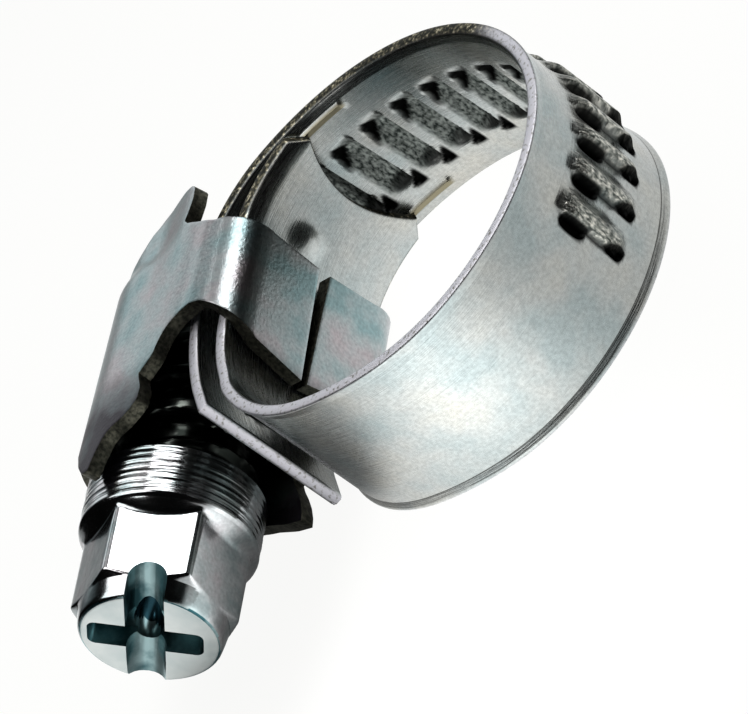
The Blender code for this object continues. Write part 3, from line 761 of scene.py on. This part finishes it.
# On the far side the lip runs straight to the mouth, and the cheek is cut short.
far_lip = [(-3.15, 11.3), (-3.5, 11.15), (-4.0, 10.85), (-4.6, 10.55), (-5.2, 10.35), (-5.65, 10.3)]
far_cheek = [(-5.65, 10.3), (-5.45, 11.2), (-5.0, 12.4), (-4.75, 13.4), (-4.9, 15.4)]

HEAD_COLUMNS = 28
WALL_COLUMNS = 40
HORN_COLUMNS = 12
LOWER_ROWS = 26
UPPER_ROWS = 46
LEG_ROWS = 18
BEND_ROWS = 8


def to_girth(points):
    return [(x, girth(x, y)) for x, y in points]


tail_ridge = crown_radius(CROWN_TAIL_X) * pi / 2
tail_edge_points = [(4.8, 0.2 * tail_ridge), (4.4, 0.34 * tail_ridge), (CROWN_TAIL_X, 0.5 * tail_ridge)]
right = along_line(to_girth(horn) + tail_edge_points + [(CROWN_TAIL_X, tail_ridge)], UPPER_ROWS)

points = []
grid = {}


def put(key, place):
    grid[key] = len(points)
    points.append(place)


head_edge = along_line(wall_head, LOWER_ROWS)
tail_edge = along_line(wall_tail, LOWER_ROWS)
first = HEAD_COLUMNS - 1
last = first + WALL_COLUMNS - 1
for side, mouth_lip, mouth_cheek in ((1, lip, cheek), (-1, far_lip, far_cheek)):
    bottom = np.vstack((
        along_line(to_girth(mouth_lip)[::-1], HEAD_COLUMNS)[:-1],
        along_line(to_girth([mouth_lip[0], wall_tail[-1]]), WALL_COLUMNS)[:-1],
        along_line(to_girth(horn_foot), HORN_COLUMNS),
    ))
    crown_head = to_girth(mouth_cheek) + [(CROWN_HEAD_X, crown_radius(CROWN_HEAD_X) * pi / 2)]
    left = along_line(crown_head, UPPER_ROWS)
    count = len(bottom)
    across_share = ((bottom[:, 0] - bottom[0, 0]) / (bottom[-1, 0] - bottom[0, 0]))[:, None]
    top_share = np.linspace(0, 1, count)[:, None]
    top_x = CROWN_HEAD_X + (CROWN_TAIL_X - CROWN_HEAD_X) * top_share[:, 0]
    top = np.column_stack((top_x, [crown_radius(x) * pi / 2 for x in top_x]))
    row = 0
    for step in range(LEG_ROWS):
        for column in range(first, last + 1):
            share = (column - first) / (last - first)
            seam = SEAM_HEAD + (SEAM_TAIL - SEAM_HEAD) * share
            z_here = seam + (WALL_HALF - LEG_BEND - seam) * step / LEG_ROWS
            start = LEG_HEAD[0][0] + (LEG_HEAD[1][0] - LEG_HEAD[0][0]) * z_here / LEG_HEAD[1][1]
            end = LEG_TAIL[0][0] + (LEG_TAIL[1][0] - LEG_TAIL[0][0]) * z_here / LEG_TAIL[1][1]
            put((side, row, column), (start + (end - start) * share, LEG_LEVEL, side * z_here))
        row += 1
    for step in range(BEND_ROWS):
        turn = pi / 2 * step / BEND_ROWS
        y = LEG_LEVEL + LEG_BEND * (1 - cos(turn))
        z = WALL_HALF - LEG_BEND + LEG_BEND * sin(turn)
        blend = step / BEND_ROWS
        start = LEG_HEAD[1][0] + (wall_head[0][0] - LEG_HEAD[1][0]) * blend
        end = LEG_TAIL[1][0] + (wall_tail[0][0] - LEG_TAIL[1][0]) * blend
        for column in range(first, last + 1):
            share = (column - first) / (last - first)
            put((side, row, column), (start + (end - start) * share, y, side * z))
        row += 1
    for step in range(LOWER_ROWS - 1):
        for column in range(first, last + 1):
            share = (column - first) / (last - first)
            x, y = head_edge[step] + (tail_edge[step] - head_edge[step]) * share
            place = on_sheet(x, y - (CROWN_TOP - crown_taper(x)))
            put((side, row, column), (place[0], place[1], side * place[2]))
        row += 1
    for step in range(UPPER_ROWS):
        t = step / (UPPER_ROWS - 1)
        line = (1 - t) * bottom + t * top
        side_share = (1 - t) * across_share + t * top_share
        line = line + (1 - side_share) * (left[step] - (1 - t) * bottom[0] - t * top[0])
        line = line + side_share * (right[step] - (1 - t) * bottom[-1] - t * top[-1])
        for column, (x, around) in enumerate(line):
            place = on_sheet(x, around)
            put((side, row, column), (place[0], place[1], side * place[2]))
        row += 1
quads = []
for side in (1, -1):
    for r in range(row - 1):
        for c in range(count - 1):
            keys = [(side, r, c), (side, r, c + 1), (side, r + 1, c + 1), (side, r + 1, c)]
            if all(k in grid for k in keys):
                quads.append([grid[k] for k in keys][::side])
mesh = bpy.data.meshes.new("folded_housing")
mesh.from_pydata(points, [], quads)
housing = bpy.data.objects.new("folded_housing", mesh)
bpy.context.scene.collection.objects.link(housing)


def make_active(piece):
    bpy.ops.object.select_all(action="DESELECT")
    piece.select_set(True)
    bpy.context.view_layer.objects.active = piece


make_active(housing)
bpy.ops.object.mode_set(mode="EDIT")
bpy.ops.mesh.select_all(action="SELECT")
bpy.ops.mesh.remove_doubles(threshold=0.001)
bpy.ops.mesh.normals_make_consistent(inside=False)
bpy.ops.object.mode_set(mode="OBJECT")
# Two empty material places let the thickening mark the edges that it makes.
housing.data.materials.append(None)
housing.data.materials.append(None)
wall = housing.modifiers.new("sheet", "SOLIDIFY")
wall.thickness = SHEET
wall.offset = -1.0
wall.use_even_offset = True
wall.material_offset_rim = 1
rounding = housing.modifiers.new("worn edges", "BEVEL")
rounding.width = WORN_EDGE
rounding.segments = 2
rounding.limit_method = "ANGLE"
rounding.angle_limit = radians(50)
for modifier in list(housing.modifiers):
    bpy.ops.object.modifier_apply(modifier=modifier.name)
flat = np.empty(len(housing.data.vertices) * 3)
housing.data.vertices.foreach_get("co", flat)
settle(housing, flat.reshape(-1, 3))
bpy.ops.object.shade_smooth_by_angle(angle=radians(40))
cut = np.empty(len(housing.data.polygons), int)
housing.data.polygons.foreach_get("material_index", cut)
housing.data.attributes.new("blanked", "FLOAT", "FACE").data.foreach_set("value", (cut > 0).astype(float))
housing.data.polygons.foreach_set("material_index", np.zeros(len(cut), int))
housing.data.materials.clear()

sheet, tree, shader = new_material("zinc plated sheet steel")
# Stamped mild steel with a zinc coat: greyer and cloudier than the strip, teal and warm in patches, and
# darker towards the collar's end with painted shade, a dull film that is no metal. The blanked edges are
# rough and dull, the colour of khaki.
coat = add_node(tree, "ShaderNodeTexCoord")
CLOUD_SIZE = 2.2
cloud = add_node(
    tree, "ShaderNodeTexNoise",
    {"Vector": coat.outputs["Object"], "Scale": 1000 / CLOUD_SIZE, "Detail": 4.0},
)
tint = add_node(
    tree, "ShaderNodeValToRGB", {"Fac": cloud.outputs["Fac"]},
    ramp=((0.34, linear("#7F9496")), (0.5, linear("#979FA0")), (0.68, linear("#A19B9D"))),
)
grain = add_node(
    tree, "ShaderNodeTexNoise",
    {"Vector": coat.outputs["Object"], "Scale": 1000 / GRAIN_SIZE, "Detail": 2.0},
)
shade = add_node(
    tree, "ShaderNodeMapRange",
    {"Value": grain.outputs["Fac"], "From Min": NOISE_LOW, "From Max": NOISE_HIGH, "To Min": 0.78},
)
base = add_node(
    tree, "ShaderNodeMix", {0: 1.0, 6: tint.outputs["Color"], 7: shade.outputs["Result"]},
    data_type="RGBA", blend_type="MULTIPLY",
)
place = add_node(tree, "ShaderNodeSeparateXYZ", {"Vector": coat.outputs["Object"]})
# Painted shade: darker towards the collar's end, in patches of the cloud.
PAINTED_SHADE_FROM = (-2.2 + origin[0]) * MM
PAINTED_SHADE_TO = (-5.0 + origin[0]) * MM
PAINTED_SHADE_STRENGTH = 2.1
PIT_DEPTH = 0.012
headward = add_node(
    tree, "ShaderNodeMapRange",
    {
        "Value": place.outputs["X"], "From Min": PAINTED_SHADE_FROM, "From Max": PAINTED_SHADE_TO,
        "To Max": PAINTED_SHADE_STRENGTH,
    },
)
painted_shade = add_node(
    tree, "ShaderNodeMath", {0: headward.outputs["Result"], 1: cloud.outputs["Fac"]}, operation="MULTIPLY"
)
blanked_metal = add_node(
    tree, "ShaderNodeValToRGB", {"Fac": grain.outputs["Fac"]},
    ramp=((0.35, linear("#3C3D36")), (0.65, linear("#66655A"))),
)
blanked = add_node(tree, "ShaderNodeAttribute", attribute_name="blanked")
finish = base.outputs[2]
rough = 0.3
metal = 1.0
for where, colour, roughness, metallic in (
    # Painted shade towards the collar's end.
    (painted_shade.outputs["Value"], linear("#37343A"), 0.38, 0.3),
    (blanked.outputs["Fac"], blanked_metal.outputs["Color"], 0.5, 1.0),
):
    finish = add_node(tree, "ShaderNodeMix", {0: where, 6: finish, 7: colour}, data_type="RGBA").outputs[2]
    rough = add_node(tree, "ShaderNodeMix", {0: where, 2: rough, 3: roughness}).outputs[0]
    metal = add_node(tree, "ShaderNodeMix", {0: where, 2: metal, 3: metallic}).outputs[0]
tree.links.new(finish, shader.inputs["Base Color"])
tree.links.new(rough, shader.inputs["Roughness"])
tree.links.new(metal, shader.inputs["Metallic"])
shader.inputs["Specular IOR Level"].default_value = 0.1
pitted = add_node(
    tree, "ShaderNodeMath", {0: grain.outputs["Fac"], 1: PIT_DEPTH}, operation="MULTIPLY"
)
bump = add_node(tree, "ShaderNodeBump", {"Height": pitted.outputs["Value"], "Distance": MM})
tree.links.new(bump.outputs["Normal"], shader.inputs["Normal"])
housing.data.materials.append(sheet)
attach(housing, "clamp")
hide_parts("housing")

# Screw
# Turned from hexagon bar: a head with a slot and cross arms, a collar with tool rings, a neck, the worm
# thread and a plain pilot end, then plated bright.
HEX_ACROSS_FLATS = 6.0
HEX_BACK_X = -8.25
HEX_CORNER = 101.8
NOSE_RADIUS = 3.08
FACE_RADIUS = 2.9
NOSE_BACK_X = -11.75
NOSE_EDGE = 0.2
NOSE_FLARE = 1.5
NOSE_SHARPNESS = 40
HEX_SHARPNESS = 44
HEX_FILLET = 0.5
FILLET_RADIUS = 2.9
FILLET_SLOPE = 1.25
FILLET_SHARPNESS = 30
COLLAR_RADIUS = 3.7
TURNED_RADIUS = COLLAR_RADIUS - 0.03
TOOL_RINGS = ((0.011, 0.31), (0.006, 0.137), (0.008, 0.83))
NECK_RADIUS = 2.7
THREAD_RADIUS = 3.2
THREAD_DEPTH = 0.65
TOOTH_HALF = 0.52
TOOTH_FLANK = 0.3
THREAD_RUN_OUTS = (0.9, 1.2)
THREAD_HEAD_X = -5.0
THREAD_TAIL_X = 4.6
PILOT_RADIUS = 2.2
TIP_X = 5.3
SLOT_WIDTH = 1.6
SLOT_RUN = Vector((0, 0.728, -0.685))
RECESS_END_X = -9.5
RECESS_RADIUS = 2.85
DEEP_FROM = 0.6
DEEP_RADIUS = 0.8

corner_steps = (0, 1.2, 2.5, 4, 6, 9, 13, 18, 24, 30, 36, 42, 47, 51, 54, 56, 57.5, 58.8)
angles = np.radians([HEX_CORNER + 60 * k + step for k in range(6) for step in corner_steps])
flats = np.radians([HEX_CORNER + 30 + 60 * k for k in range(6)])
flat_share = np.maximum(np.cos(angles[:, None] - flats), 0)
flat_share = (flat_share ** HEX_SHARPNESS).sum(1) ** (1 / HEX_SHARPNESS)
hex_radius = HEX_ACROSS_FLATS / 2 / flat_share

valley = strip.mouth_x - (THREAD_START + 0.9 * THREAD_PITCH - strip.mouth)


def worm_radius(x):
    """The radius round the worm at this x: a trapezoid thread that fades out at both ends."""
    crest = valley + THREAD_PITCH * (angles + pi) / (2 * pi)
    off = np.abs((x - crest + THREAD_PITCH / 2) % THREAD_PITCH - THREAD_PITCH / 2)
    tooth = ease((TOOTH_HALF - off) / TOOTH_FLANK)
    fade = ease((x - THREAD_HEAD_X) / THREAD_RUN_OUTS[0]) * ease((THREAD_TAIL_X - x) / THREAD_RUN_OUTS[1])
    return THREAD_RADIUS - THREAD_DEPTH + THREAD_DEPTH * tooth * fade


# The screw is a stack of rings from the end face to the pilot's tip, closest where its shape turns.
rings = []
full = np.ones(len(angles))
head_steps = [HEAD_FACE_X + step for step in (0.0, 0.015, 0.04, 0.08, 0.13, 0.2, 0.35, 0.6, 0.85)]
head_steps += list(NOSE_BACK_X + np.arange(0, 0.5, 0.05)) + list(np.linspace(-11.1, -9.0, 6))
head_steps += list(HEX_BACK_X + np.arange(-0.6, 0.01, 0.1))
for x in head_steps:
    edge = NOSE_EDGE * (1 - sqrt(1 - min(1.0, max(0.0, 1 - (x - HEAD_FACE_X) / NOSE_EDGE)) ** 2))
    along = (x - HEAD_FACE_X) / (NOSE_BACK_X - HEAD_FACE_X)
    nose = full * (FACE_RADIUS - edge + (NOSE_RADIUS - FACE_RADIUS) * min(1.0, along))
    nose = nose + NOSE_FLARE * max(0.0, x - NOSE_BACK_X)
    fillet = full * (FILLET_RADIUS + FILLET_SLOPE * max(0.0, x - HEX_BACK_X + HEX_FILLET))
    body = np.logaddexp(FILLET_SHARPNESS * hex_radius, FILLET_SHARPNESS * fillet) / FILLET_SHARPNESS
    rings.append((x, -np.logaddexp(-NOSE_SHARPNESS * body, -NOSE_SHARPNESS * nose) / NOSE_SHARPNESS))
rings.append((HEX_BACK_X + 0.02, full * (COLLAR_RADIUS - 0.14)))
for x in np.arange(HEX_BACK_X + 0.12, COLLAR_BACK_X - 0.1, 0.045):
    turned = sum(depth * sin(2 * pi * x / pitch) for depth, pitch in TOOL_RINGS)
    rings.append((x, full * (TURNED_RADIUS + turned)))
rings.append((COLLAR_BACK_X - 0.05, full * TURNED_RADIUS))
rings.append((COLLAR_BACK_X, full * (COLLAR_RADIUS - 0.1)))
rings.append((COLLAR_BACK_X, full * (NECK_RADIUS + 0.1)))
rings.append((COLLAR_BACK_X + 0.1, full * NECK_RADIUS))
for x in np.arange(THREAD_HEAD_X - 0.1, THREAD_TAIL_X + 0.001, 0.08):
    rings.append((x, worm_radius(x)))
rings += [(THREAD_TAIL_X + 0.05, full * PILOT_RADIUS), (TIP_X - 0.3, full * PILOT_RADIUS)]
rings += [(TIP_X, full * (PILOT_RADIUS - 0.3))]
points = []
for x, radius in rings:
    points += [(x, SCREW_LEVEL + r * cos(a), r * sin(a)) for r, a in zip(radius, angles)]
size = len(angles)
quads = []
for ring in range(len(rings) - 1):
    for k in range(size):
        n = (k + 1) % size
        quads.append((ring * size + k, ring * size + n, (ring + 1) * size + n, (ring + 1) * size + k))
quads.append(tuple(range(size)))
quads.append(tuple(range((len(rings) - 1) * size, len(rings) * size)))
mesh = bpy.data.meshes.new("turned_screw")
mesh.from_pydata(points, [], quads)
screw = bpy.data.objects.new("turned_screw", mesh)
bpy.context.scene.collection.objects.link(screw)
make_active(screw)
bpy.ops.object.mode_set(mode="EDIT")
bpy.ops.mesh.select_all(action="SELECT")
bpy.ops.mesh.normals_make_consistent(inside=False)
bpy.ops.object.mode_set(mode="OBJECT")

# What is milled and worn out of the head: size, depth, shift across the slot, rounding of the cutter's
# edges, and tilt along the slot in degrees. The dish is worn in the slot's floor.
CUTTERS = (
    ("slot", (14.0, SLOT_WIDTH, 4.0), 1.08, -0.17, 0.79, 10.5),
    ("cross", (1.4, 4.7, 4.0), 1.0, -0.17, 0.34, 0.0),
    ("dish", (2.3, 1.25, 1.5), 1.85, -0.17, 0.0, 14.0),
)
for name, size, depth, shift, round_radius, tilt in CUTTERS:
    bpy.ops.object.select_all(action="DESELECT")
    if name == "dish":
        bpy.ops.mesh.primitive_uv_sphere_add(segments=32, ring_count=20, radius=0.5)
    else:
        bpy.ops.mesh.primitive_cube_add(size=1.0)
    cutter = bpy.context.object
    cutter.scale = size
    bpy.ops.object.transform_apply(scale=True)
    bpy.ops.object.mode_set(mode="EDIT")
    bpy.ops.mesh.select_mode(type="EDGE")
    bpy.ops.mesh.select_all(action="DESELECT")
    bm = bmesh.from_edit_mesh(cutter.data)
    for edge in bm.edges if round_radius else ():
        low_side = all(v.co.z < 0 for v in edge.verts)
        lengthwise = abs(edge.verts[0].co.x - edge.verts[1].co.x) > 1
        upright = abs(edge.verts[0].co.z - edge.verts[1].co.z) > 1
        edge.select_set((low_side and lengthwise) if name == "slot" else upright)
    bmesh.update_edit_mesh(cutter.data)
    if round_radius:
        bpy.ops.mesh.bevel(offset=round_radius, segments=6, affect="EDGES")
    bpy.ops.object.mode_set(mode="OBJECT")
    # Local Z points out of the head, and local X runs along the slot.
    out = Vector((-1, 0, 0))
    side = out.cross(SLOT_RUN)
    for vert in cutter.data.vertices:
        local = vert.co + Vector((0, shift, size[2] / 2 - depth))
        tipped = local.z + local.x * tan(radians(tilt))
        vert.co = Vector((HEAD_FACE_X, SCREW_LEVEL, 0)) + out * tipped + SLOT_RUN * local.x + side * local.y
    cut = screw.modifiers.new(name, "BOOLEAN")
    cut.object = cutter
    cut.operation = "DIFFERENCE"
    cut.solver = "EXACT"
    make_active(screw)
    bpy.ops.object.modifier_apply(modifier=name)
    bpy.data.objects.remove(cutter)

flat = np.empty(len(screw.data.polygons) * 3)
screw.data.polygons.foreach_get("center", flat)
x, y, z = flat.reshape(-1, 3).T.copy()
screw.data.polygons.foreach_get("normal", flat)
facing = flat.reshape(-1, 3)[:, 0]
from_axis = np.hypot(y - SCREW_LEVEL, z)
for name, values in (
    ("faced", (facing < -0.9) & (x < HEAD_FACE_X + 0.01)),
    ("recess", (x > HEAD_FACE_X + 0.01) & (x < RECESS_END_X) & (from_axis < RECESS_RADIUS)),
    # Painted shade: the dish in the slot's floor is coloured dark.
    ("painted_dish_shade", (x > HEAD_FACE_X + DEEP_FROM) & (x < RECESS_END_X) & (from_axis < DEEP_RADIUS)),
    ("turned", (x > HEX_BACK_X) & (x < COLLAR_BACK_X)),
    # The worm and neck are coloured near black.
    ("dark_worm", (x > COLLAR_BACK_X - 0.001) & (x < THREAD_TAIL_X)),
):
    screw.data.attributes.new(name, "FLOAT", "FACE").data.foreach_set("value", values.astype(float))
flat = np.empty(len(screw.data.vertices) * 3)
screw.data.vertices.foreach_get("co", flat)
settle(screw, flat.reshape(-1, 3))
bpy.ops.object.shade_smooth_by_angle(angle=radians(35))
bright, tree, shader = new_material("bright zinc on turned steel")
# Free cutting steel, turned and then barrel plated bright: nearly a mirror on the bar's own flats, satin
# where the end was faced, ringed where it was turned, blue green in the slots with painted shade in the dish
# at their middle, and near black on the worm.
coat = add_node(tree, "ShaderNodeTexCoord")
CLOUD_SIZE = 1.5
CLOUD_DEPTH = 0.012
RING_DEPTH = 0.02
# Per metre, along the screw and across it.
TOOL_LINES = (11000.0, 350.0, 350.0)
cloud = add_node(
    tree, "ShaderNodeTexNoise",
    {"Vector": coat.outputs["Object"], "Scale": 1000 / CLOUD_SIZE, "Detail": 5.0},
)
tint = add_node(
    tree, "ShaderNodeValToRGB", {"Fac": cloud.outputs["Fac"]},
    ramp=((0.35, linear("#9AA5A6")), (0.5, linear("#B3B7B8")), (0.65, linear("#B9B6B8"))),
)
grain = add_node(
    tree, "ShaderNodeTexNoise",
    {"Vector": coat.outputs["Object"], "Scale": 1000 / GRAIN_SIZE, "Detail": 3.0},
)
shade = add_node(
    tree, "ShaderNodeMapRange",
    {"Value": grain.outputs["Fac"], "From Min": NOISE_LOW, "From Max": NOISE_HIGH, "To Min": 0.8},
)
base = add_node(
    tree, "ShaderNodeMix", {0: 1.0, 6: tint.outputs["Color"], 7: shade.outputs["Result"]},
    data_type="RGBA", blend_type="MULTIPLY",
)
recess_metal = add_node(
    tree, "ShaderNodeValToRGB", {"Fac": cloud.outputs["Fac"]},
    ramp=((0.38, linear("#3C6268")), (0.6, linear("#A5BEC0"))),
)
dark_worm_metal = add_node(
    tree, "ShaderNodeValToRGB", {"Fac": cloud.outputs["Fac"]},
    ramp=((0.45, linear("#1B1E1C")), (0.62, linear("#5A5E5A"))),
)
faced_metal = add_node(
    tree, "ShaderNodeMix", {0: cloud.outputs["Fac"], 6: linear("#B6C4C5"), 7: linear("#F4F5F2")},
    data_type="RGBA",
)
finish = base.outputs[2]
rough = 0.14
for mask, colour, roughness in (
    ("faced", faced_metal.outputs[2], 0.42),
    ("recess", recess_metal.outputs["Color"], 0.3),
    # Painted shade in the slot's dish.
    ("painted_dish_shade", linear("#2C4B55"), 0.24),
    ("dark_worm", dark_worm_metal.outputs["Color"], 0.2),
):
    where = add_node(tree, "ShaderNodeAttribute", attribute_name=mask).outputs["Fac"]
    finish = add_node(tree, "ShaderNodeMix", {0: where, 6: finish, 7: colour}, data_type="RGBA").outputs[2]
    rough = add_node(tree, "ShaderNodeMix", {0: where, 2: rough, 3: roughness}).outputs[0]
tree.links.new(finish, shader.inputs["Base Color"])
tree.links.new(rough, shader.inputs["Roughness"])
shader.inputs["Metallic"].default_value = 1.0
turned = add_node(tree, "ShaderNodeAttribute", attribute_name="turned")
tool = add_node(tree, "ShaderNodeMapping", {"Vector": coat.outputs["Object"], "Scale": TOOL_LINES})
tool_lines = add_node(
    tree, "ShaderNodeTexNoise", {"Vector": tool.outputs["Vector"], "Scale": 1.0, "Detail": 2.0}
)
ringed = add_node(
    tree, "ShaderNodeMath", {0: tool_lines.outputs["Fac"], 1: turned.outputs["Fac"]}, operation="MULTIPLY"
)
fine_height = add_node(
    tree, "ShaderNodeMath", {0: cloud.outputs["Fac"], 1: CLOUD_DEPTH}, operation="MULTIPLY"
)
relief_height = add_node(
    tree, "ShaderNodeMath",
    {0: ringed.outputs["Value"], 1: RING_DEPTH, 2: fine_height.outputs["Value"]}, operation="MULTIPLY_ADD",
)
bump = add_node(tree, "ShaderNodeBump", {"Height": relief_height.outputs["Value"], "Distance": MM})
tree.links.new(bump.outputs["Normal"], shader.inputs["Normal"])
screw.data.materials.append(bright)
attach(screw, "screw")
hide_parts("worm_screw")
